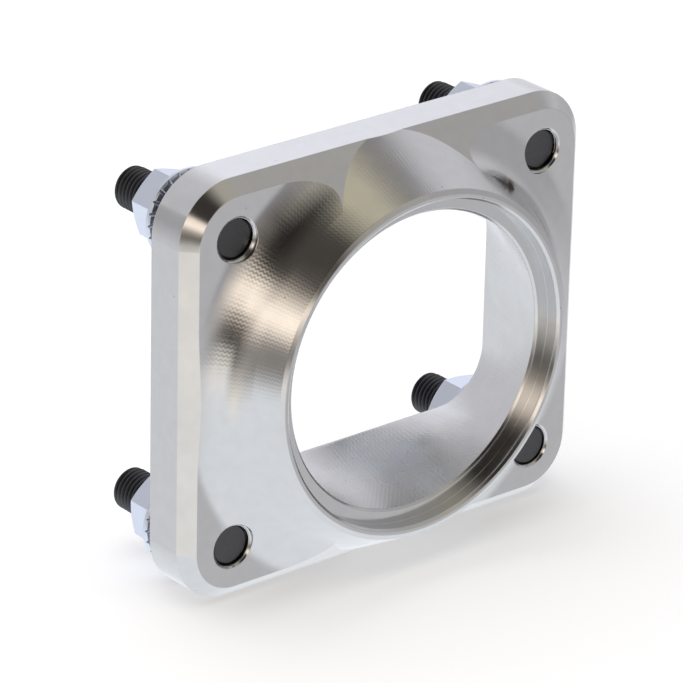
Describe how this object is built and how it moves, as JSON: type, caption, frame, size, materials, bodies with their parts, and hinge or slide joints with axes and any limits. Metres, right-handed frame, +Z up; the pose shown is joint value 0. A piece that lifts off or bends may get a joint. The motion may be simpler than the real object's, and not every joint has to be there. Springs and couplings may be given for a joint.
{
  "type": "round to rectangular weld flange",
  "caption": "Machined steel weld flange: a round tube socket in a conical hub opens into a rounded rectangular port, with threaded studs and serrated flange nuts at the corners.",
  "frame": {"origin": "on the bore's axis, at the shoulder in the socket that the tube's end stands on", "axes": "+Y along the bore, from the round socket to the rectangular port and the free ends of the studs; +X along the plate's long side; +Z up"},
  "size_m": [0.1132, 0.051, 0.0996],
  "materials": {
    "milled_steel": "satin, fine milling ripples on the hub",
    "black_oxide_steel": "black oxide, satin",
    "zinc_plated_steel": "bright zinc plate"
  },
  "bodies": {
    "root": {"flange_body": "milled_steel", "stud_top_left": "black_oxide_steel", "stud_top_right": "black_oxide_steel", "stud_bottom_left": "black_oxide_steel", "stud_bottom_right": "black_oxide_steel", "flange_nut_top_left": "zinc_plated_steel", "flange_nut_top_right": "zinc_plated_steel", "flange_nut_bottom_left": "zinc_plated_steel", "flange_nut_bottom_right": "zinc_plated_steel"}
  },
  "joints": []
}
